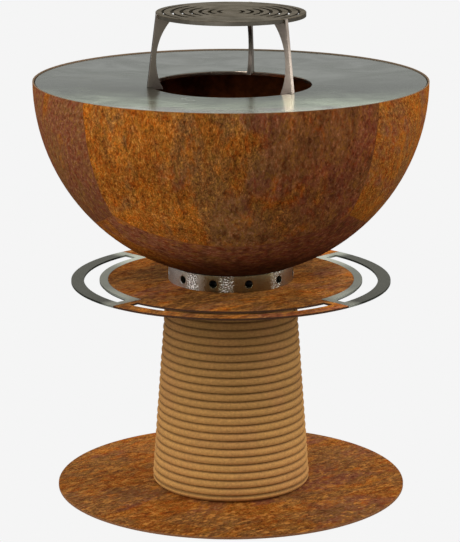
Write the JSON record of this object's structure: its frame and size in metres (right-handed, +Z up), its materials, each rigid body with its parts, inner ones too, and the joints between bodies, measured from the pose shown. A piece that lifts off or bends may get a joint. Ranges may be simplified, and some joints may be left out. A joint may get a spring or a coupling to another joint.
{
  "type": "fire pit grill",
  "caption": "Free-standing fire bowl with a ring-shaped cooking plate, a lift-off trivet, a turning shelf ring that closes the air vents, and a layered pedestal on a base disc.",
  "frame": {"origin": "centre of the base disc's underside, on the ground", "axes": "+Z up along the axis of the bowl, +X towards the right handle, -Y towards the front"},
  "size_m": [0.9799, 0.98, 1.2117],
  "materials": {
    "weathered_steel": "weathering steel with an orange to purple-brown patina, matt, streaked",
    "stainless": "brushed stainless steel",
    "structural_steel": "black-painted mild steel, semi-matt",
    "cooking_steel": "seasoned grey-green steel plate, satin",
    "trivet_steel": "taupe oiled steel plate, satin",
    "printed_mineral": "sand-coloured printed mineral layers, fine sandy grain",
    "bronze": "turned bearing bronze",
    "cast_iron": "raw cast iron, sooty",
    "fastener_steel": "plain stainless fasteners"
  },
  "bodies": {
    "stand": {"base_disc": "weathered_steel", "foot_flange": "structural_steel", "foot_gussets": "structural_steel", "foot_bolts": "fastener_steel", "foot_nuts": "fastener_steel", "column_tube": "structural_steel", "column_cap": "structural_steel", "pedestal_shell": "printed_mineral", "head_flange": "structural_steel", "head_bolts": "fastener_steel", "slide_ring": "bronze", "hub_ring": "structural_steel", "stop_pin": "fastener_steel", "air_drum": "structural_steel", "drum_screws": "fastener_steel", "bowl_seat": "structural_steel", "bowl_bolts": "fastener_steel", "fire_bowl": "weathered_steel", "plate_lugs": "structural_steel"},
    "shelf": {"shelf_disc": "weathered_steel", "vent_collar": "stainless", "handle_left": "stainless", "handle_right": "stainless", "strap_left": "structural_steel", "strap_right": "structural_steel", "strap_screws": "fastener_steel"},
    "cooking_plate": {"cooking_plate": "cooking_steel"},
    "trivet": {"trivet_plate": "trivet_steel", "leg_left": "trivet_steel", "leg_right": "trivet_steel", "leg_rear": "trivet_steel"},
    "fire_basket": {"fire_grate": "cast_iron", "ash_pan": "structural_steel", "pan_hoop": "structural_steel", "hanger_rods": "cast_iron"}
  },
  "joints": [
    {"name": "shelf_turn", "type": "hinge", "parent": "stand", "child": "shelf", "pos_m": [0, 0, 0.5357], "axis": [0, 0, 1], "range_deg": [0, 16]},
    {"name": "plate_lift", "type": "slide", "parent": "stand", "child": "cooking_plate", "axis": [0, 0, 1], "range_m": [0, 0.3]},
    {"name": "trivet_lift", "type": "slide", "parent": "cooking_plate", "child": "trivet", "axis": [0, 0, 1], "range_m": [0, 0.2]},
    {"name": "basket_lift", "type": "slide", "parent": "stand", "child": "fire_basket", "axis": [0, 0, 1], "range_m": [0, 0.4]}
  ]
}
